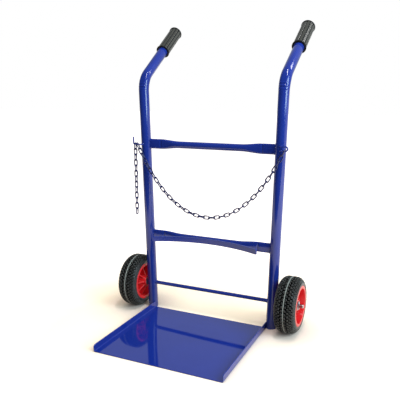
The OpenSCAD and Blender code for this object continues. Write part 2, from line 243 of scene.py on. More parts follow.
world = bpy.data.worlds.new("studio")
bpy.context.scene.world = world
world.use_nodes = True
tree = world.node_tree
tree.nodes.clear()
direction = add_node(tree, "ShaderNodeTexCoord", outlet="Generated")
along_y = add_node(tree, "ShaderNodeSeparateXYZ", outlet="Y", Vector=direction)
studio = add_node(tree, "ShaderNodeMapRange", Value=along_y, From_Min=STUDIO_FRONT,
                  From_Max=STUDIO_BACK, To_Min=MIRRORED_FRONT, To_Max=MIRRORED_BACK)
path = tree.nodes.new("ShaderNodeLightPath")
soft = calculate(tree, "MULTIPLY", path.outputs["Is Diffuse Ray"], WORLD_LIGHT)
mirrored = calculate(tree, "MULTIPLY", path.outputs["Is Glossy Ray"], studio)
level = calculate(tree, "MAXIMUM", path.outputs["Is Camera Ray"],
                  calculate(tree, "MAXIMUM", soft, mirrored))
tint = blend_colors(tree, path.outputs["Is Camera Ray"], SKY, (1, 1, 1, 1))
sky = add_node(tree, "ShaderNodeBackground", Color=tint, Strength=level)
world_out = tree.nodes.new("ShaderNodeOutputWorld")
tree.links.new(sky, world_out.inputs["Surface"])
print("world: light", WORLD_LIGHT, "mirrored", MIRRORED_FRONT, "to", MIRRORED_BACK)

# %% [markdown]
# ## Lamps
#
# Two soft boxes and two tube lamps light the cart. The right soft box draws the pale stripe
# along the right side of each tube. The top one lights the plate and the tyres from above, and
# glossy paint doesn't mirror it. The thin tube lamps draw the short sparks on the bends.

# %% Lamps
def soft_box(name, at, towards, width, height, watts, color=(1, 1, 1), mirrored=True):
    """A rectangular area lamp that faces a point; glossy paint shows it only if mirrored."""
    data = bpy.data.lights.new(name, "AREA")
    data.shape = "RECTANGLE"
    data.size = width
    data.size_y = height
    data.energy = watts
    data.color = color
    lamp = bpy.data.objects.new(name, data)
    aim = (Vector(towards) - Vector(at)).to_track_quat("-Z", "Y")
    lamp.matrix_world = Matrix.Translation(at) @ aim.to_matrix().to_4x4()
    lamp.visible_glossy = mirrored
    bpy.context.scene.collection.objects.link(lamp)
    print("lamp:", name, width, "by", height, "m,", watts, "W")


soft_box("right_soft_box", at=(2.5, -0.5, 1.65), towards=(0, 0.2, 0.9), width=1.65, height=2.0,
         watts=104, color=(0.68, 0.91, 1.0))
soft_box("top_soft_box", at=(0.3, -0.5, 3.2), towards=(0, 0.2, 0.5), width=1.8, height=1.8,
         watts=14, mirrored=False)
soft_box("front_tube_lamp", at=(0.4, -0.3, 2.8), towards=(0.35, -0.2, 0), width=0.2,
         height=1.0, watts=22)
soft_box("back_tube_lamp", at=(1.5, 1.35, 2.6), towards=(0, 0.2, 0.9), width=0.1, height=0.9,
         watts=6)

# %% [markdown]
# ## Shared effects
#
# Three effects turn up in most finishes, so each is a node group. The grain group gives the
# fine unevenness of sprayed powder, moulded plastic or rubber, and slow clouds. The dust group
# finds places near the floor. The wear group finds edges, where a coat is thin or rubbed; on
# the chain and the rim the colour laid there is also a painted highlight.

# %% Shared effects
DUST_PATCHES = 45
WEAR_AND_HIGHLIGHT_PATCHES = 120
WEAR_AND_HIGHLIGHT_GAIN = 9


def new_group(name, inputs, outputs):
    """A shader node group with float sockets: inputs is {name: default}."""
    group = bpy.data.node_groups.new(name, "ShaderNodeTree")
    for label, value in inputs.items():
        socket = group.interface.new_socket(label, in_out="INPUT", socket_type="NodeSocketFloat")
        socket.default_value = value
    for label in outputs:
        group.interface.new_socket(label, in_out="OUTPUT", socket_type="NodeSocketFloat")
    start = group.nodes.new("NodeGroupInput")
    end = group.nodes.new("NodeGroupOutput")
    return group, start.outputs, end.inputs


grain_group, start, end = new_group("grain", {"Fine": 400, "Slow": 8}, ["Height", "Clouds"])
place = add_node(grain_group, "ShaderNodeTexCoord", outlet="Object")
fine = add_node(grain_group, "ShaderNodeTexNoise", Vector=place, Scale=start["Fine"], Detail=3)
slow = add_node(grain_group, "ShaderNodeTexNoise", Vector=place, Scale=start["Slow"], Detail=5)
feed(grain_group, end["Height"], fine)
feed(grain_group, end["Clouds"], slow)

dust_group, start, end = new_group("floor_dust", {"Reach": 0.14, "Amount": 0.3}, ["Mask"])
place = add_node(dust_group, "ShaderNodeTexCoord", outlet="Object")
height = add_node(dust_group, "ShaderNodeSeparateXYZ", outlet="Z", Vector=place)
fade = add_node(dust_group, "ShaderNodeMapRange", Value=height, From_Max=start["Reach"],
                To_Min=1.0, To_Max=0.0)
patches = add_node(dust_group, "ShaderNodeTexNoise", Vector=place, Scale=DUST_PATCHES,
                   Detail=5)
mask = calculate(dust_group, "MULTIPLY", fade, patches)
feed(dust_group, end["Mask"], calculate(dust_group, "MULTIPLY", mask, start["Amount"]))

wear_and_highlight_group, start, end = new_group("edge_wear_and_highlight", {"Radius": 0.0015, "Amount": 0.5}, ["Mask"])
place = add_node(wear_and_highlight_group, "ShaderNodeTexCoord", outlet="Object")
softened = add_node(wear_and_highlight_group, "ShaderNodeBevel", settings={"samples": 4},
                    Radius=start["Radius"])
true_normal = add_node(wear_and_highlight_group, "ShaderNodeNewGeometry", outlet="Normal")
facing = wear_and_highlight_group.nodes.new("ShaderNodeVectorMath")
facing.operation = "DOT_PRODUCT"
wear_and_highlight_group.links.new(softened, facing.inputs[0])
wear_and_highlight_group.links.new(true_normal, facing.inputs[1])
turned = calculate(wear_and_highlight_group, "SUBTRACT", 1.0, facing.outputs["Value"])
patches = add_node(wear_and_highlight_group, "ShaderNodeTexNoise", Vector=place, Scale=WEAR_AND_HIGHLIGHT_PATCHES,
                   Detail=4)
patches = calculate(wear_and_highlight_group, "MULTIPLY", patches, WEAR_AND_HIGHLIGHT_GAIN)
strong = calculate(wear_and_highlight_group, "MULTIPLY", turned, patches)
mask = calculate(wear_and_highlight_group, "MULTIPLY", calculate(wear_and_highlight_group, "MINIMUM", strong, 1.0),
                 start["Amount"])
feed(wear_and_highlight_group, end["Mask"], mask)
print("groups:", grain_group.name, dust_group.name, wear_and_highlight_group.name)


# %% [markdown]
# ## Finishes
#
# All finishes share one build: a colour that drifts between two tones, an edge colour, dust
# near the floor and a fine grain in the normal. The edge colour is wear, and on the chain and
# the rim it is also a painted highlight. Only their numbers differ. The paints are smooth
# enough to mirror the studio, the plastic and the grips have a softer gloss, and the tread is
# dull. Darker finishes paint shade into the grips' grooves and flanges and between the tread
# blocks, and a pale one paints a highlight on the tyre's seam.

# %% Finishes
DUST = (0.32, 0.30, 0.27, 1)
GLOSS_DRIFT = 0.2
BUMP_STRENGTH = 0.4


def finish(name, tones, wear_and_highlight, roughness, grain, depth, wear_and_highlight_amount=0.4, dust=0.0, **shader_values):
    """A finish from the shared effects; grain is the scale of its unevenness, depth its height."""
    material = empty_material(name)
    tree = material.node_tree
    grained = tree.nodes.new("ShaderNodeGroup")
    grained.node_tree = grain_group
    grained.inputs["Fine"].default_value = grain
    wear_and_highlight_at = tree.nodes.new("ShaderNodeGroup")
    wear_and_highlight_at.node_tree = wear_and_highlight_group
    wear_and_highlight_at.inputs["Amount"].default_value = wear_and_highlight_amount
    dusty = tree.nodes.new("ShaderNodeGroup")
    dusty.node_tree = dust_group
    dusty.inputs["Amount"].default_value = dust
    clouds = grained.outputs["Clouds"]
    color = blend_colors(tree, clouds, (*tones[0], 1), (*tones[1], 1))
    color = blend_colors(tree, wear_and_highlight_at.outputs["Mask"], color, (*wear_and_highlight, 1))
    color = blend_colors(tree, dusty.outputs["Mask"], color, DUST)
    gloss = add_node(tree, "ShaderNodeMapRange", Value=clouds,
                     To_Min=roughness * (1 - GLOSS_DRIFT), To_Max=roughness * (1 + GLOSS_DRIFT))
    bump = add_node(tree, "ShaderNodeBump", Height=grained.outputs["Height"],
                    Strength=BUMP_STRENGTH, Distance=depth)
    shader = add_node(tree, "ShaderNodeBsdfPrincipled", Base_Color=color, Roughness=gloss,
                      Normal=bump, **shader_values)
    out = tree.nodes.new("ShaderNodeOutputMaterial")
    tree.links.new(shader, out.inputs["Surface"])
    print("finish:", name)
    return material


tube_paint = finish(
    "tube_paint", [(0.008, 0.020, 0.18), (0.014, 0.033, 0.245)], wear_and_highlight=(0.06, 0.10, 0.36),
    roughness=0.12, grain=420, depth=0.000015, dust=0.12)
plate_paint = finish(
    "plate_paint", [(0.006, 0.020, 0.20), (0.010, 0.027, 0.25)], wear_and_highlight=(0.08, 0.11, 0.45),
    roughness=0.05, grain=220, depth=0.00002)
# The chain's paler blue edge colour is partly wear and partly a painted highlight.
chain_paint = finish(
    "chain_paint", [(0.004, 0.006, 0.045), (0.008, 0.012, 0.09)], wear_and_highlight=(0.08, 0.10, 0.36),
    roughness=0.15, grain=700, depth=0.0002, wear_and_highlight_amount=0.5, Specular_IOR_Level=0.5)
grip_rubber = finish(
    "grip_rubber", [(0.009, 0.008, 0.005), (0.040, 0.037, 0.029)], wear_and_highlight=(0.14, 0.14, 0.12),
    roughness=0.3, grain=900, depth=0.00003, Specular_IOR_Level=1.0)
# Darker, duller rubber for the grips' grooves, flanges and cap: painted shade.
painted_shade_rubber = finish(
    "painted_shade_rubber", [(0.004, 0.004, 0.006), (0.010, 0.010, 0.014)], wear_and_highlight=(0.03, 0.03, 0.03),
    roughness=0.5, grain=900, depth=0.0002, Specular_IOR_Level=0.2)
tread_rubber = finish(
    "tread_rubber", [(0.002, 0.002, 0.002), (0.010, 0.009, 0.008)], wear_and_highlight=(0.22, 0.21, 0.2),
    roughness=0.4, grain=500, depth=0.0003, wear_and_highlight_amount=1.0, dust=0.06, Specular_IOR_Level=0.25)
# Nearly black rubber without sheen between the tread blocks: painted shade.
painted_shade_tread_ground = finish(
    "painted_shade_tread_ground", [(0.001, 0.001, 0.001), (0.004, 0.004, 0.004)], wear_and_highlight=(0.02, 0.02, 0.02),
    roughness=0.7, grain=500, depth=0.0003, Specular_IOR_Level=0.0)
sidewall_rubber = finish(
    "sidewall_rubber", [(0.007, 0.008, 0.010), (0.015, 0.016, 0.020)], wear_and_highlight=(0.08, 0.08, 0.08),
    roughness=0.36, grain=600, depth=0.0002, dust=0.06, Specular_IOR_Level=0.5)
# Pale grey on the mould seam: a painted highlight along the crown.
seam_painted_highlight = finish(
    "seam_painted_highlight", [(0.22, 0.22, 0.20), (0.36, 0.36, 0.33)], wear_and_highlight=(0.4, 0.4, 0.37),
    roughness=0.7, grain=700, depth=0.0003)
# The rim's pale pink edge colour is partly scuffed, stress-whitened plastic and partly a painted
# highlight on the lips.
rim_plastic = finish(
    "rim_plastic", [(0.62, 0.006, 0.010), (0.76, 0.012, 0.016)], wear_and_highlight=(0.9, 0.32, 0.3),
    roughness=0.32, grain=250, depth=0.0001, wear_and_highlight_amount=0.8, dust=0.05)
zinc = finish(
    "zinc", [(0.40, 0.40, 0.42), (0.55, 0.55, 0.56)], wear_and_highlight=(0.7, 0.7, 0.7),
    roughness=0.35, grain=600, depth=0.0002, Metallic=1.0)
nylon = finish(
    "nylon", [(0.60, 0.56, 0.48), (0.68, 0.65, 0.58)], wear_and_highlight=(0.75, 0.72, 0.68),
    roughness=0.5, grain=400, depth=0.0002)

# %% [markdown]
# ## Helpers for pieces
#
# Each new piece is a mesh that stands where its solid stands, rides on the same body and takes
# the solid's place in the picture. Two helpers draw a ring of edges on, straight or round a
# bend. A third turns a half section round its axis, as a lathe would.

# %% Helpers for pieces
SAME_PLACE = 1e-6
CORNER_SHARE = 0.45


def add_piece(name, bm, material, body, nodes=(), sharp=35):
    """Makes an object from bm, gives it its finish and sets it on its body."""
    bmesh.ops.remove_doubles(bm, verts=bm.verts, dist=SAME_PLACE)
    bmesh.ops.recalc_face_normals(bm, faces=bm.faces)
    mesh = bpy.data.meshes.new(name)
    bm.to_mesh(mesh)
    bm.free()
    mesh.materials.append(material)
    mesh.shade_smooth()
    mesh.set_sharp_from_angle(angle=math.radians(sharp))
    piece = bpy.data.objects.new(name, mesh)
    bpy.context.scene.collection.objects.link(piece)
    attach(piece, body)
    if nodes:
        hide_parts(*nodes)
    print("piece:", name, len(mesh.polygons), "faces")
    return piece


def round_edges(piece, width, segments=2):
    """Rounds a piece's sharp edges."""
    bevel = piece.modifiers.new("round_edges", "BEVEL")
    bevel.width = width
    bevel.segments = segments
    bevel.limit_method = "ANGLE"
    bevel.angle_limit = math.radians(40)


def thicken(piece, wall):
    """Gives a skin its wall, on the inside of its faces."""
    solidify = piece.modifiers.new("wall", "SOLIDIFY")
    solidify.thickness = wall
    solidify.offset = -1


def start_ring(bm, radius, at, facing, segments=24):
    """A circle of edges whose axis points along facing."""
    aim = Vector(facing).to_track_quat("Z", "X").to_matrix().to_4x4()
    made = bmesh.ops.create_circle(bm, segments=segments, radius=radius,
                                   matrix=Matrix.Translation(at) @ aim)["verts"]
    return list({e for v in made for e in v.link_edges})


def draw_on(bm, ring, vec):
    """Draws a ring of edges on along vec and returns the new ring."""
    made = bmesh.ops.extrude_edge_only(bm, edges=ring)["geom"]
    bmesh.ops.translate(bm, verts=[g for g in made if isinstance(g, bmesh.types.BMVert)], vec=vec)
    return [g for g in made if isinstance(g, bmesh.types.BMEdge)]


def bend_on(bm, ring, centre, axis, angle, steps):
    """Draws a ring of edges on round a bend and returns the new ring."""
    verts = list({v for e in ring for v in e.verts})
    last = bmesh.ops.spin(bm, geom=verts + ring, cent=centre, axis=axis, angle=angle,
                          steps=steps)["geom_last"]
    return [g for g in last if isinstance(g, bmesh.types.BMEdge)]


def close_end(bm, ring):
    """Fills a ring with one face."""
    bmesh.ops.contextual_create(bm, geom=ring)


def lathe(bm, section, matrix, steps):
    """Turns a closed section of (radius, height) points about Z and moves it by matrix."""
    verts = [bm.verts.new((r, 0, h)) for r, h in section]
    edges = [bm.edges.new(pair) for pair in zip(verts, verts[1:] + verts[:1])]
    before = set(bm.verts) - set(verts)
    bmesh.ops.spin(bm, geom=verts + edges, cent=(0, 0, 0), axis=(0, 0, 1), angle=math.tau,
                   steps=steps, use_merge=True)
    fresh = [v for v in bm.verts if v not in before]
    bmesh.ops.transform(bm, matrix=matrix, verts=fresh)


def round_corners(points, radius, steps=4):
    """A closed section with its corners rounded; radius is one length, or one for each point."""
    result = []
    count = len(points)
    for i, point in enumerate(points):
        corner = Vector(point)
        r = radius[i] if isinstance(radius, (list, tuple)) else radius
        before, after = Vector(points[i - 1]) - corner, Vector(points[(i + 1) % count]) - corner
        reach = min(r, before.length * CORNER_SHARE, after.length * CORNER_SHARE)
        start, end = corner + before.normalized() * reach, corner + after.normalized() * reach
        for step in range(steps + 1):
            t = step / steps
            result.append(tuple(start * (1 - t) ** 2 + corner * (2 * t * (1 - t)) + end * t * t))
    return result


# %% [markdown]
# ## Uprights
#
# An upright is one length of round tube, bent once in a tube bender. It is drawn from a circle:
# straight up, round the bend, and straight again into the grip. An empty tube collapses a
# little in a tight bend. Its outer wall sinks between two ridges and ripples where the bend
# starts. Then the tube leans outwards, and a level cut gives its foot.

# %% Uprights
BEND_STEPS = 56
SINK = 0.0025
RIPPLE = 0.0010
RIPPLE_PITCH = 0.011
SINK_FROM = 0.35
RIPPLE_END = 0.42
SWELL = 0.05
CAP_INSIDE = 0.006
FLOOR_GAP = 0.0002


def on_upright(side):
    """Turns the frame of an upright, with its foot at the origin, into the cart's frame."""
    foot = Matrix.Translation((side * FOOT_HALF, AXLE.y, 0))
    return foot @ Matrix.Rotation(side * SPLAY, 4, "Y")


def sink_bend(vert):
    """Sinks, ripples and swells one point of the tube, if it lies in the bend."""
    up, in_front = vert.co.z - BEND_Z, BEND_R - vert.co.y
    angle = math.atan2(up, in_front)
    if not 0 < angle < BEND_ANGLE:
        return
    outwards = (math.hypot(up, in_front) - BEND_R) / TUBE_R
    along = angle / BEND_ANGLE
    hollow = max(0, (outwards - SINK_FROM) / (1 - SINK_FROM)) ** 6
    depth = SINK * math.sin(math.pi * along) ** 0.8 * hollow
    wave = math.sin(math.tau * angle * (BEND_R + TUBE_R) / RIPPLE_PITCH)
    fade = math.sin(math.pi * min(1, along / RIPPLE_END)) * max(0, outwards) ** 0.5
    depth += RIPPLE * wave * fade
    vert.co.y += depth * math.cos(angle)
    vert.co.z -= depth * math.sin(angle)
    vert.co.x *= 1 + SWELL * math.sin(math.pi * along) * (1 - abs(outwards))


def build_upright(side):
    """One upright, from its foot to the inside of its grip."""
    bm = bmesh.new()
    ring = start_ring(bm, TUBE_R, at=(0, 0, -TUBE_R), facing=(0, 0, 1), segments=72)
    ring = draw_on(bm, ring, (0, 0, BEND_Z + TUBE_R))
    ring = bend_on(bm, ring, (0, BEND_R, BEND_Z), (-1, 0, 0), BEND_ANGLE, BEND_STEPS)
    handle = BARE_HANDLE + GRIP_LENGTH - CAP_INSIDE
    draw_on(bm, ring, handle * Vector((0, math.sin(BEND_ANGLE), math.cos(BEND_ANGLE))))
    for vert in bm.verts:
        sink_bend(vert)
    bmesh.ops.transform(bm, matrix=on_upright(side), verts=bm.verts)
    bmesh.ops.bisect_plane(bm, geom=bm.verts[:] + bm.edges[:] + bm.faces[:],
                           plane_co=(0, 0, FLOOR_GAP), plane_no=(0, 0, 1), clear_inner=True)
    name = f"{SIDES[side]}_upright"
    piece = add_piece(f"{name}_tube", bm, tube_paint, "frame", [name])
    thicken(piece, TUBE_WALL)
    round_edges(piece, width=0.0005)


for side in SIDES:
    build_upright(side)

# %% [markdown]
# ## Crossbars
#
# A crossbar is a thinner tube whose ends are pressed flat, until they stand as tall as the
# upright is wide. The press is modelled too: the round tube is drawn out in rings, and each
# point moves towards the flat outline by how near the end it lies. The edge of the press leaves
# a shallow crease where the flat part starts.

# %% Crossbars
BAR_R = 0.013
END_HALF_T = 0.0065
END_HALF_FLAT = 0.012
BAR_FLAT = 0.048
BAR_TAPER = 0.078
BAR_RINGS = 16
CREASE = 0.42
CREASE_WIDTH = 0.0024
PRESS_SHAPE = 2.2
WELD_FACE = 0.0172  # from an upright's centre line to what is welded to it


def outline_point(angle, amount):
    """A point of the bar's outline, from round (amount 0) to pressed flat (amount 1)."""
    y, z = BAR_R * math.cos(angle), BAR_R * math.sin(angle)
    rise = max(-1, min(1, PRESS_SHAPE * math.sin(angle))) * END_HALF_FLAT
    flat_y = END_HALF_T * math.cos(angle)
    flat_z = END_HALF_T * math.sin(angle) + rise
    return y + (flat_y - y) * amount, z + (flat_z - z) * amount


def press(vert, z, end):
    """Presses one point of the round bar."""
    share = (abs(vert.co.x) - (end - BAR_FLAT - BAR_TAPER)) / BAR_TAPER
    share = max(0, min(1, share))
    angle = math.atan2(vert.co.z - z, vert.co.y - AXLE.y)
    across, up = outline_point(angle, share * share * (3 - 2 * share))
    off = (abs(vert.co.x) - end + BAR_FLAT) / CREASE_WIDTH
    across *= 1 - CREASE * math.exp(-off * off)
    vert.co.y, vert.co.z = AXLE.y + across, z + up


def build_crossbar(name):
    """One crossbar, drawn from its left end to its right end."""
    z = box_middle(name).z
    end = half_span(z) - WELD_FACE
    bm = bmesh.new()
    ring = start_ring(bm, BAR_R, at=(-end, AXLE.y, z), facing=(1, 0, 0), segments=48)
    near = [CREASE_WIDTH / 2] * 4
    flat = [BAR_FLAT - 2 * CREASE_WIDTH, *near]
    taper = [*near, *[(BAR_TAPER - 2 * CREASE_WIDTH) / BAR_RINGS] * BAR_RINGS]
    middle = 2 * (end - BAR_FLAT - BAR_TAPER)
    for step in [*flat, *taper, middle, *reversed(taper), *reversed(flat)]:
        ring = draw_on(bm, ring, (step, 0, 0))
    for vert in bm.verts:
        press(vert, z, end)
    add_piece(f"{name}_tube", bm, tube_paint, "frame", [name])


for name in ("upper_crossbar", "lower_crossbar"):
    build_crossbar(name)

# %% [markdown]
# ## Cylinder saddle
#
# The saddle is a flat strip with rounded ends, rolled to an arc that the cylinders lean
# against. A flat grid gets its four corners rounded first, is then bent round the arc's centre,
# and gets its thickness last.

# %% Cylinder saddle
SADDLE_HALF = 0.208
SADDLE_DEPTH = 0.050
SADDLE_WIDTH = 0.020
SADDLE_T = 0.005
SADDLE_CORNER = 0.0048
WELD_GAP = 0.0001
SADDLE_R = (SADDLE_HALF ** 2 + SADDLE_DEPTH ** 2) / (2 * SADDLE_DEPTH)
LOWER_BAR_Z = box_middle("lower_crossbar").z
SADDLE_FRONT = AXLE.y - BAR_R - WELD_GAP - SADDLE_T

arc = 2 * SADDLE_R * math.asin(SADDLE_HALF / SADDLE_R)
bm = bmesh.new()
bmesh.ops.create_grid(bm, x_segments=72, y_segments=1, size=0.5)
bmesh.ops.scale(bm, verts=bm.verts, vec=(arc, SADDLE_WIDTH, 1))
corners = [v for v in bm.verts if len(v.link_edges) == 2]
bmesh.ops.bevel(bm, geom=corners, offset=SADDLE_CORNER, offset_type="OFFSET", segments=6,
                profile=0.5, affect="VERTICES", material=-1)
bmesh.ops.rotate(bm, verts=bm.verts, matrix=Matrix.Rotation(math.pi / 2, 3, "X"))
for vert in bm.verts:
    angle = vert.co.x / SADDLE_R
    vert.co.x = SADDLE_R * math.sin(angle)
    vert.co.y = SADDLE_FRONT - SADDLE_R * (1 - math.cos(angle))
    vert.co.z += LOWER_BAR_Z
bmesh.ops.recalc_face_normals(bm, faces=bm.faces)
if sum(f.normal.y for f in bm.faces) > 0:
    bmesh.ops.reverse_faces(bm, faces=bm.faces)
bmesh.ops.solidify(bm, geom=bm.faces[:], thickness=SADDLE_T)
saddle = add_piece("saddle_strip", bm, tube_paint, "frame", ["cylinder_saddle"])
round_edges(saddle, width=0.0007)

# %% [markdown]
# ## Toe plate
#
# The toe plate is one sheet, folded up at both sides. The model folds it too: the two side
# edges are drawn up, the fold lines get the bend's radius, and the flanges' front corners are
# rounded so that they don't catch a shin. The sheet's thickness comes last.

# %% Toe plate
PLATE_HALF = 0.236
PLATE_DEPTH = 0.413
PLATE_T = 0.003
FLANGE = 0.025
FOLD_R = 0.006
FLANGE_CORNER = 0.008

bm = bmesh.new()
bmesh.ops.create_grid(bm, x_segments=1, y_segments=1, size=0.5)
bmesh.ops.scale(bm, verts=bm.verts, vec=(2 * PLATE_HALF, PLATE_DEPTH, 1))
folds = [e for e in bm.edges if abs(e.verts[0].co.x - e.verts[1].co.x) < SAME_PLACE]
draw_on(bm, folds, (0, 0, FLANGE))
bmesh.ops.bevel(bm, geom=folds, offset=FOLD_R, offset_type="OFFSET", segments=8, profile=0.5,
                affect="EDGES", material=-1)
front_corners = [v for v in bm.verts if v.co.y < 0 and v.co.z > FLANGE - SAME_PLACE]
bmesh.ops.bevel(bm, geom=front_corners, offset=FLANGE_CORNER, offset_type="OFFSET", segments=8,
                profile=0.5, affect="VERTICES", material=-1)
bmesh.ops.recalc_face_normals(bm, faces=bm.faces)
base = max(bm.faces, key=lambda f: f.calc_area())
if base.normal.z > 0:
    bmesh.ops.reverse_faces(bm, faces=bm.faces)
bmesh.ops.solidify(bm, geom=bm.faces[:], thickness=PLATE_T)
plate = add_piece("toe_plate_sheet", bm, plate_paint, "frame", ["toe_plate"])
round_edges(plate, width=0.0006)

# %% [markdown]
# ## Grips
#
# A grip is a moulded rubber sleeve that is pushed over the handle. It has lengthwise grooves,
# a flange at each end and a closed end cap. The grooved sleeve is a circle with many points,
# each pulled in where it lies in a groove. Hands polish the ribs. The grooves, the flanges and
# the cap get a second, darker and duller finish, which is painted shade.

# %% Grips
GRIP_R = 0.0245
FLANGE_R = 0.0265
FLANGE_T = 0.0035
GROOVES = 12
GROOVE_R = 0.0019
SLEEVE_POINTS = GROOVES * 16
SLEEVE_INSET = FLANGE_T * 0.8
GRIP_BORE_R = TUBE_R + 0.0002
FLANGE_ROUND = 0.0014
CAP_RIM_R = 0.020
CAP_DISH_R = 0.018
CAP_DISH = 0.0008


def on_grip(side):
    """Turns a grip's own frame, with its open end at the origin, into the cart's frame."""
    bend = Matrix.Translation((0, BEND_R, BEND_Z)) @ Matrix.Rotation(-BEND_ANGLE, 4, "X")
    return on_upright(side) @ bend @ Matrix.Translation((0, -BEND_R, BARE_HANDLE))


def cut_groove(vert):
    """Pulls a point of the sleeve in, if it lies in a groove."""
    angle = math.atan2(vert.co.y, vert.co.x)
    pitch = math.tau / GROOVES
    off = abs((angle + pitch / 2) % pitch - pitch / 2) * GRIP_R
    if off < GROOVE_R:
        scale = 1 - math.sqrt(GROOVE_R ** 2 - off ** 2) / GRIP_R
        vert.co.x *= scale
        vert.co.y *= scale


def build_grip(side):
    """One grip: the grooved sleeve, the flange at its open end and the cap."""
    bm = bmesh.new()
    ring = start_ring(bm, GRIP_R, (0, 0, SLEEVE_INSET), (0, 0, 1), SLEEVE_POINTS)
    draw_on(bm, ring, (0, 0, GRIP_LENGTH - 2 * SLEEVE_INSET))
    for vert in bm.verts:
        cut_groove(vert)
    collar = [(GRIP_BORE_R, 0), (FLANGE_R, 0), (FLANGE_R, FLANGE_T), (GRIP_BORE_R, FLANGE_T)]
    radii = [0.0008, FLANGE_ROUND, FLANGE_ROUND, 0.0002]
    lathe(bm, round_corners(collar, radii), Matrix(), steps=64)
    top = Matrix.Translation((0, 0, GRIP_LENGTH - FLANGE_T))
    cap = [(0.0, 0), (FLANGE_R, 0), (FLANGE_R, FLANGE_T), (CAP_RIM_R, FLANGE_T),
           (CAP_DISH_R, FLANGE_T - CAP_DISH), (0.0, FLANGE_T - CAP_DISH)]
    lathe(bm, round_corners(cap, [0, FLANGE_ROUND, FLANGE_ROUND, 0.001, 0.001, 0]), top, steps=64)
    bmesh.ops.transform(bm, matrix=on_grip(side), verts=bm.verts)
    name = f"{SIDES[side]}_grip"
    piece = add_piece(f"{name}_sleeve", bm, grip_rubber, "frame", [name],
                      sharp=40)
    # Grooves, flanges and cap take the darker finish: painted shade.
    piece.data.materials.append(painted_shade_rubber)
    to_grip = on_grip(side).inverted()
    for polygon in piece.data.polygons:
        place = to_grip @ polygon.center
        on_sleeve = FLANGE_T < place.z < GRIP_LENGTH - FLANGE_T
        in_groove = math.hypot(place.x, place.y) < GRIP_R - GROOVE_R / 3
        polygon.material_index = int(in_groove or not on_sleeve)


for side in SIDES:
    build_grip(side)

# %% [markdown]
# ## Tyres
#
# A tyre is lathed from its section: a narrow crown, full round shoulders and a bead that sits
# in the rim. The tread is made of small blocks. One block is copied round the wheel for each
# row, and every second row is turned by half a step. Fine ribs end the tread on the shoulder,
# and a seam from the mould runs round the crown, coloured pale as a painted highlight. The
# ground between the blocks is painted nearly black and without sheen, as painted shade.

# %% Tyres
TYRE_R = 0.1035
TREAD_BASE = 0.0982
CROWN_HALF = 0.012
SHOULDER_R = 0.0279
SHOULDER_CENTRE = TYRE_R - 0.028
TREAD_DEPTH = 0.0052
TREAD_END = (37, 0.003)
SIDEWALL = ((38, 0.0044), (36, 0.0022), (30, 0.0020), (18, 0.0020), (16, 0.0006),
            (11, 0.0002), (5, 0.0006))
BEAD = [(0.0752, 0.0384), (0.0743, 0.0374), (0.0738, 0.0358), (0.0712, 0.0358)]
BLOCKS = 48
BLOCK_HEIGHT = TYRE_R - TREAD_BASE + 0.001
BLOCK_LENGTH = 0.0072
BLOCK_WIDTH = 0.0056
BLOCK_TURN = math.radians(14)
BLOCK_EDGE = 0.0006
CROWN_ROW = (TYRE_R - 0.0001 - BLOCK_HEIGHT / 2, 0.0062)
SHOULDER_ROWS = (80, 62, 45)
SIDE_RIBS = 96
SIDE_RIB = (0.0024, 0.0024, 0.0095)
SIDE_RIB_ROW = 27
SEAM_DROP = 0.0004
SEAM_FOOT = 0.0015
SEAM_TOP = 0.0008


def on_wheel(side):
    """Turns a wheel's own frame, with Z pointing away from the cart, into the cart's frame."""
    return Matrix.Translation(WHEEL[side]) @ Matrix.Rotation(side * math.pi / 2, 4, "Y")


def shoulder(degrees, below=0.0):
    """A point of the shoulder's curve or below it: 90 degrees is the crown, 0 the side."""
    a = math.radians(degrees)
    r = SHOULDER_R - below
    return SHOULDER_CENTRE + r * math.sin(a), CROWN_HALF + r * math.cos(a)


def tyre_section():
    """Half the section, from the crown to the bead, and then its mirror image."""
    half = [(TREAD_BASE, 0.001), (TREAD_BASE, CROWN_HALF)]
    half += [shoulder(degrees, TREAD_DEPTH) for degrees in range(84, 41, -6)]
    half += [shoulder(degrees, below) for degrees, below in SIDEWALL] + BEAD
    return half + [(r, -h) for r, h in reversed(half)]


def tread_row(bm, row_place, size, count, turned):
    """Copies one block round the wheel; size is its height, length and width."""
    made = bmesh.ops.create_cube(bm, size=1)["verts"]
    bmesh.ops.scale(bm, verts=made, vec=size)
    outer = [e for e in {e for v in made for e in v.link_edges}
             if all(v.co.x > 0 for v in e.verts)]
    fresh = bmesh.ops.bevel(bm, geom=outer, offset=BLOCK_EDGE, offset_type="OFFSET",
                            segments=1, profile=0.5, affect="EDGES", material=-1)
    verts = list({v for v in made if v.is_valid} | set(fresh["verts"]))
    spot = Matrix.Rotation(turned, 4, "Z") @ row_place
    bmesh.ops.transform(bm, matrix=spot, verts=verts)
    faces = list({f for v in verts for f in v.link_faces})
    edges = list({e for v in verts for e in v.link_edges})
    bmesh.ops.spin(bm, geom=verts + edges + faces, cent=(0, 0, 0), axis=(0, 0, 1),
                   angle=math.tau * (count - 1) / count, steps=count - 1, use_duplicate=True)


def shoulder_place(degrees, end, height):
    """Where a block of this height stands on the shoulder, its outer face on the curve."""
    r, h = shoulder(degrees, height / 2)
    tilt = Matrix.Rotation(end * math.radians(degrees - 90), 4, "Y")
    return Matrix.Translation((r, 0, end * h)) @ tilt


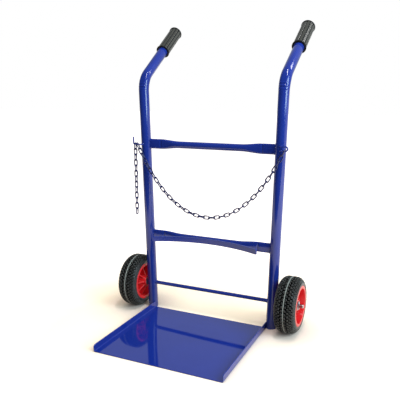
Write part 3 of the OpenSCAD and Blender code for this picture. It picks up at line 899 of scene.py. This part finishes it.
def build_tyre(side):
    """One tyre: its body, the blocks and ribs on it, and the seam."""
    name = f"{SIDES[side]}_tyre"
    wheel = f"{SIDES[side]}_wheel"
    bm = bmesh.new()
    lathe(bm, tyre_section(), on_wheel(side), steps=120)
    body = add_piece(f"{name}_body", bm, sidewall_rubber, wheel, [name])
    # Faces outside the sidewall take the nearly black ground: painted shade between the blocks.
    body.data.materials.append(painted_shade_tread_ground)
    for polygon in body.data.polygons:
        out = polygon.center - WHEEL[side]
        polygon.material_index = int(math.hypot(out.y, out.z) > shoulder(*TREAD_END)[0])

    bm = bmesh.new()
    half_step = math.pi / BLOCKS
    block = (BLOCK_HEIGHT, BLOCK_LENGTH, BLOCK_WIDTH)
    for end in (-1, 1):
        rows = [Matrix.Translation((CROWN_ROW[0], 0, end * CROWN_ROW[1]))]
        rows += [shoulder_place(degrees, end, BLOCK_HEIGHT) for degrees in SHOULDER_ROWS]
        for i, place in enumerate(rows):
            place = place @ Matrix.Rotation(end * BLOCK_TURN, 4, "X")
            tread_row(bm, place, block, BLOCKS, half_step * (i % 2))
        tread_row(bm, shoulder_place(SIDE_RIB_ROW, end, SIDE_RIB[0]), SIDE_RIB, SIDE_RIBS, 0)
    bmesh.ops.transform(bm, matrix=on_wheel(side), verts=bm.verts)
    add_piece(f"{name}_tread", bm, tread_rubber, wheel, [name])

    # The seam ridge is coloured pale: a painted highlight.
    bm = bmesh.new()
    foot, top = TREAD_BASE - 0.001, TYRE_R - SEAM_DROP
    seam = [(foot, -SEAM_FOOT), (top, -SEAM_TOP), (top, SEAM_TOP), (foot, SEAM_FOOT)]
    lathe(bm, seam, on_wheel(side), steps=120)
    add_piece(f"{name}_seam", bm, seam_painted_highlight, wheel, [name])


for side in SIDES:
    build_tyre(side)

# %% [markdown]
# ## Rims
#
# A rim is one moulding of red plastic. Its barrel carries the tyre between two lips, a web in
# the middle joins it to the boss, and eight ribs on each side stiffen the web. The boss reaches
# further towards the upright, which keeps the tyre clear of the tube.

# %% Rims
RIM_R = 0.071
LIP_R = 0.0735
BARREL_R = 0.064
BOSS_R = 0.020
BORE_R = 0.0121
BOSS_IN = -0.045
BOSS_OUT = 0.027
LIP_END = 0.0385
LIP_START = 0.0360
WEB_HALF = 0.003
RIBS = 8
RIB_TOP = 0.0022
RIB_FOOT = 0.0032
RIB_SUNK = 0.001
RIB_AT_BARREL = 0.018
RIB_AT_BOSS = {1: 0.024, -1: 0.039}


def rim_section():
    """The closed section of the rim; heights above zero lie away from the cart."""
    outer = [(BORE_R, BOSS_OUT), (BOSS_R, BOSS_OUT), (BOSS_R + 0.001, WEB_HALF),
             (BARREL_R - 0.003, WEB_HALF), (BARREL_R, LIP_END), (LIP_R, LIP_END),
             (LIP_R, LIP_START), (RIM_R, LIP_START)]
    inner = [(RIM_R, -LIP_START), (LIP_R, -LIP_START), (LIP_R, -LIP_END),
             (BARREL_R, -LIP_END), (BARREL_R - 0.003, -WEB_HALF), (BOSS_R + 0.002, -WEB_HALF),
             (BOSS_R, BOSS_IN), (BORE_R, BOSS_IN)]
    radii = [0.0008, 0.0015, 0.003, 0.006, 0.0012, 0.0008, 0.0005, 0.0002]
    return round_corners(outer + inner, radii + radii[::-1])


def add_rib(bm, turned, end):
    """One rib between the boss and the barrel, a little thinner along its free edge."""
    made = bmesh.ops.create_cube(bm, size=1)["verts"]
    for vert in made:
        near_boss, free = vert.co.x < 0, vert.co.z > 0
        reach = BOSS_R - RIB_SUNK if near_boss else BARREL_R + RIB_SUNK
        half = math.copysign(RIB_TOP if free else RIB_FOOT, vert.co.y)
        height = RIB_AT_BOSS[end] if near_boss else RIB_AT_BARREL
        vert.co = Vector((reach, half, end * (height if free else RIB_SUNK)))
    bmesh.ops.rotate(bm, verts=made, matrix=Matrix.Rotation(turned, 3, "Z"))


def build_rim(side):
    """One rim: the lathed moulding with its ribs."""
    name = f"{SIDES[side]}_rim"
    bm = bmesh.new()
    lathe(bm, rim_section(), Matrix(), steps=96)
    for i in range(RIBS):
        for end in RIB_AT_BOSS:
            add_rib(bm, math.tau * i / RIBS, end)
    bmesh.ops.transform(bm, matrix=on_wheel(side), verts=bm.verts)
    piece = add_piece(f"{name}_moulding", bm, rim_plastic, f"{SIDES[side]}_wheel",
                      [name])
    round_edges(piece, width=0.0007)


for side in SIDES:
    build_rim(side)

# %% [markdown]
# ## Bushes, washers and axle
#
# Two nylon bushes are pressed into each boss. A washer runs on each side of every wheel. The
# axle is one painted rod that passes through both uprights. Its ends, outside the wheels, stay
# bare.

# %% Bushes, washers and axle
AXLE_R = 0.007
BUSH_BORE_R = 0.00708
BUSH_R = 0.012
BUSH_LENGTH = 0.022
WASHER_BORE_R = 0.0071
WASHER_R = 0.016
WASHER_GAP = 0.0003
INNER_WASHER_T = 0.003
OUTER_WASHER_T = 0.0025


def build_ring(name, side, inner, outer, low, high, material, body, nodes):
    """A ring on the axle, from low to high along the wheel's axis."""
    bm = bmesh.new()
    section = [(inner, low), (outer, low), (outer, high), (inner, high)]
    lathe(bm, round_corners(section, 0.0004, steps=2), on_wheel(side), steps=48)
    add_piece(name, bm, material, body, nodes)


for side, label in SIDES.items():
    bushes = [f"{label}_bushes"]
    wheel = f"{label}_wheel"
    build_ring(f"{label}_inner_bush", side, BUSH_BORE_R, BUSH_R, BOSS_IN, BOSS_IN + BUSH_LENGTH,
               nylon, wheel, bushes)
    build_ring(f"{label}_outer_bush", side, BUSH_BORE_R, BUSH_R, BOSS_OUT - BUSH_LENGTH,
               BOSS_OUT, nylon, wheel, bushes)
    inner_face, outer_face = BOSS_IN - WASHER_GAP, BOSS_OUT + WASHER_GAP
    build_ring(f"{label}_inner_washer", side, WASHER_BORE_R, WASHER_R,
               inner_face - INNER_WASHER_T, inner_face, zinc, "frame", ["inner_washers"])
    build_ring(f"{label}_outer_washer", side, WASHER_BORE_R, WASHER_R,
               outer_face, outer_face + OUTER_WASHER_T, zinc, "frame", ["outer_washers"])

bare_from = WHEEL[1].x + BOSS_OUT + 0.0005
axle_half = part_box("axle")[1][0]
bm = bmesh.new()
ring = start_ring(bm, AXLE_R, at=(-axle_half, AXLE.y, AXLE.z), facing=(1, 0, 0), segments=40)
close_end(bm, ring)
for step in (axle_half - bare_from, 2 * bare_from, axle_half - bare_from):
    ring = draw_on(bm, ring, (step, 0, 0))
close_end(bm, ring)
rod = add_piece("axle_rod", bm, tube_paint, "frame", ["axle"])
rod.data.materials.append(zinc)
for polygon in rod.data.polygons:
    polygon.material_index = int(abs(polygon.center.x) > bare_from)
round_edges(rod, width=0.001)

# %% [markdown]
# ## Hook and eye
#
# Both are bent from rod and welded to the fronts of the uprights. The eye is one rod that goes
# out and comes back. The hook ends in an open tip, so a link of the chain can be dropped over
# it. Each is drawn along its bends like the tubes.

# %% Hook and eye
ROD_R = 0.0025
ANCHOR_Z = 0.658
ANCHOR_X = half_span(ANCHOR_Z) + 0.021
CHAIN_Y = AXLE.y - 0.029
ROOT_X = half_span(ANCHOR_Z) + TUBE_R / 4
ELBOW = 0.005
HOOK_BEND_X = -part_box("chain_hook")[0][0] - ROD_R - ELBOW
EYE_BEND_X = ANCHOR_X + 0.004
EYE_RISE = 0.015
UP, DOWN = (0, 0, 1), (0, 0, -1)


def start_arm(bm, end_x):
    """A rod from the right upright's front forward, round an elbow and out to end_x."""
    ring = start_ring(bm, ROD_R, at=(ROOT_X, AXLE.y - WELD_FACE, ANCHOR_Z), facing=(0, -1, 0))
    ring = draw_on(bm, ring, (0, CHAIN_Y + ELBOW - AXLE.y + WELD_FACE, 0))
    ring = bend_on(bm, ring, (ROOT_X + ELBOW, CHAIN_Y + ELBOW, ANCHOR_Z), UP, math.pi / 2, 8)
    return draw_on(bm, ring, (end_x - ROOT_X - ELBOW, 0, 0))


bm = bmesh.new()
ring = start_arm(bm, HOOK_BEND_X)
ring = bend_on(bm, ring, (HOOK_BEND_X, CHAIN_Y, ANCHOR_Z + ELBOW), (0, -1, 0), math.pi / 2, 8)
ring = draw_on(bm, ring, (0, 0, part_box("chain_hook")[1][2] - ANCHOR_Z - ELBOW))
close_end(bm, ring)
bmesh.ops.scale(bm, verts=bm.verts, vec=(-1, 1, 1))
hook = add_piece("hook_rod", bm, tube_paint, "frame", ["chain_hook"])
round_edges(hook, width=0.001, segments=3)

bm = bmesh.new()
ring = start_arm(bm, EYE_BEND_X)
ring = bend_on(bm, ring, (EYE_BEND_X, CHAIN_Y, ANCHOR_Z + EYE_RISE / 2), (0, -1, 0), math.pi, 16)
ring = draw_on(bm, ring, (ROOT_X + ELBOW - EYE_BEND_X, 0, 0))
ring = bend_on(bm, ring, (ROOT_X + ELBOW, CHAIN_Y + ELBOW, ANCHOR_Z + EYE_RISE), DOWN,
               math.pi / 2, 8)
draw_on(bm, ring, (0, AXLE.y - WELD_FACE - CHAIN_Y - ELBOW, 0))
add_piece("eye_rod", bm, tube_paint, "frame", ["chain_eye"])

# %% [markdown]
# ## Chain
#
# A chain hangs between two points in a curve that follows the hyperbolic cosine. Its scale is
# found by halving, until the curve is as long as the links. Each link is one bent wire, a little
# thicker from the weld on its straight side, and every second link is turned by a quarter.

# %% Chain
WIRE_R = 0.002
LINK_PITCH = 0.021
LINK_END_R = 0.00575
LINK_HALF = 0.0069
LINK_REACH = 0.01265
LINK_WELD = 0.002
WELD_SWELL = 1.2
ROD_HOLD = WIRE_R + ROD_R + 0.0003
SWAG_LINKS = 39
TAIL_LINKS = 13


def hang_scale(length):
    """The scale of the curve that is this long between the two anchors."""
    low, high = ANCHOR_X / 8, ANCHOR_X * 8
    for _ in range(50):
        middle = (low + high) / 2
        longer = 2 * middle * math.sinh(ANCHOR_X / middle) > length
        low, high = (middle, high) if longer else (low, middle)
    return (low + high) / 2


def add_link(bm, matrix):
    """One link, its length along X and its width along Y, moved by matrix."""
    before = set(bm.verts)
    ring = start_ring(bm, WIRE_R, (-LINK_HALF, -LINK_END_R, 0), (1, 0, 0), segments=12)
    ring = draw_on(bm, ring, (2 * LINK_HALF, 0, 0))
    ring = bend_on(bm, ring, (LINK_HALF, 0, 0), UP, math.pi, 10)
    for step in (LINK_HALF - LINK_WELD, LINK_WELD):
        ring = draw_on(bm, ring, (-step, 0, 0))
    weld = list({v for e in ring for v in e.verts})
    bmesh.ops.scale(bm, verts=weld, vec=(1, WELD_SWELL, WELD_SWELL),
                    space=Matrix.Translation((0, -LINK_END_R, 0)))
    for step in (LINK_WELD, LINK_HALF - LINK_WELD):
        ring = draw_on(bm, ring, (-step, 0, 0))
    bend_on(bm, ring, (-LINK_HALF, 0, 0), UP, math.pi, 10)
    bmesh.ops.transform(bm, matrix=matrix, verts=[v for v in bm.verts if v not in before])


def quarter(i):
    """Turns every second link by a quarter."""
    return Matrix.Rotation(math.pi / 2 * (i % 2), 4, "X")


end_slope = math.atan(SWAG_LINKS * LINK_PITCH / 2 / hang_scale(SWAG_LINKS * LINK_PITCH))
end_hold = LINK_REACH - ROD_HOLD / math.sin(end_slope)
swag_length = (SWAG_LINKS - 1) * LINK_PITCH + 2 * end_hold
scale = hang_scale(swag_length)
swag_low = ANCHOR_Z - scale * (math.cosh(ANCHOR_X / scale) - 1)

bm = bmesh.new()
for i in range(SWAG_LINKS):
    run = end_hold - swag_length / 2 + i * LINK_PITCH
    x = scale * math.asinh(run / scale)
    spot = Matrix.Translation((x, CHAIN_Y, swag_low + scale * (math.cosh(x / scale) - 1)))
    add_link(bm, spot @ Matrix.Rotation(-math.atan(run / scale), 4, "Y") @ quarter(i))
add_piece("swag_links", bm, chain_paint, "swag", ["swag_chain"])

tail_x = box_middle("tail_chain").x
bm = bmesh.new()
for i in range(TAIL_LINKS):
    z = ANCHOR_Z - (LINK_REACH - ROD_HOLD) - i * LINK_PITCH
    spot = Matrix.Translation((tail_x, CHAIN_Y, z)) @ Matrix.Rotation(math.pi / 2, 4, "Y")
    add_link(bm, spot @ quarter(i))
add_piece("tail_links", bm, chain_paint, "tail", ["tail_chain"])

# %% [markdown]
# ## Split pins
#
# A split pin keeps each wheel on the axle. Its eye, shank and bent leg are already shaped in
# the solid, so the piece is a copy of that solid with its triangles joined and smoothed.

# %% Split pins
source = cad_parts["split_pins"]
bm = bmesh.new()
bm.from_mesh(source.data)
bmesh.ops.transform(bm, matrix=source.matrix_world, verts=bm.verts)
add_piece("split_pin_wires", bm, zinc, "frame", ["split_pins"], sharp=50)

# %% [markdown]
# ## Weld beads
#
# The frame's pieces are joined by welds that the paint covers. A bead is a row of small
# overlapping drops, as the weld pool leaves them. The drops differ a little in size, so the
# ripple looks laid by hand.

# %% Weld beads
BEAD_R = 0.0019
AXLE_BEAD_R = 0.0018
ROD_BEAD_R = 0.0014
BEAD_OUT = 0.0005
AXLE_BEAD_AT = TUBE_R * 0.97
BAR_DROPS = 44
AXLE_DROPS = 24
ROD_DROPS = 12
FOOT_DROPS = 13
FOOT_START, FOOT_SWEEP = -93, 68
STITCH_DROPS = 17
STITCH_PITCH = 0.0018
STITCH_STARTS = (-0.045, 0.015)
STITCH_BACK = SADDLE_FRONT + SADDLE_T + 0.0012
STITCH_UP = SADDLE_WIDTH / 2 - 0.0008
UNEVEN = ((0.12, 2.4), (0.05, 5.1))


def weld_row(bm, points, r):
    """Sets a drop at each point."""
    for i, point in enumerate(points):
        size = r * (1 + sum(share * math.sin(i * pace) for share, pace in UNEVEN))
        bmesh.ops.create_icosphere(bm, subdivisions=2, radius=size,
                                   matrix=Matrix.Translation(point))


def bar_end_points(side, z):
    """Points round a crossbar's flat end, on the upright's surface."""
    points = []
    for i in range(BAR_DROPS):
        across, up = outline_point(math.tau * i / BAR_DROPS, 1)
        inset = math.sqrt(TUBE_R ** 2 - across ** 2)
        points.append((side * (half_span(z + up) - inset), AXLE.y + across, z + up))
    return points


def ring_points(centre, radius, normal, count):
    """Points on a circle round centre."""
    aim = Vector(normal).to_track_quat("Z", "X").to_matrix()
    turns = [math.tau * i / count for i in range(count)]
    return [Vector(centre) + aim @ Vector((radius * math.cos(a), radius * math.sin(a), 0))
            for a in turns]


def weld_root(bm, x, z):
    """Welds a rod's root to the front of an upright."""
    root = (x, AXLE.y - WELD_FACE - ROD_BEAD_R, z)
    weld_row(bm, ring_points(root, ROD_R + BEAD_OUT, (0, 1, 0), ROD_DROPS), ROD_BEAD_R)


bm = bmesh.new()
for side in SIDES:
    for name in ("upper_crossbar", "lower_crossbar"):
        weld_row(bm, bar_end_points(side, box_middle(name).z), BEAD_R)
    for out in (-1, 1):
        face = (side * (half_span(AXLE.z) + out * AXLE_BEAD_AT), AXLE.y, AXLE.z)
        drops = ring_points(face, AXLE_R + BEAD_OUT, (1, 0, 0), AXLE_DROPS)
        weld_row(bm, drops, AXLE_BEAD_R)
    for i in range(FOOT_DROPS):
        angle = math.radians(FOOT_START + FOOT_SWEEP * i / (FOOT_DROPS - 1))
        x = side * (FOOT_HALF - TUBE_R * math.cos(angle))
        weld_row(bm, [(x, AXLE.y + TUBE_R * math.sin(angle), PLATE_T)], BEAD_R)
    weld_root(bm, side * ROOT_X, ANCHOR_Z)
weld_root(bm, ROOT_X, ANCHOR_Z + EYE_RISE)
for up in (-1, 1):
    for start_x in STITCH_STARTS:
        row = [(start_x + STITCH_PITCH * i, STITCH_BACK, LOWER_BAR_Z + up * STITCH_UP)
               for i in range(STITCH_DROPS)]
        weld_row(bm, row, BEAD_R)
add_piece("frame_welds", bm, tube_paint, "frame", sharp=60)
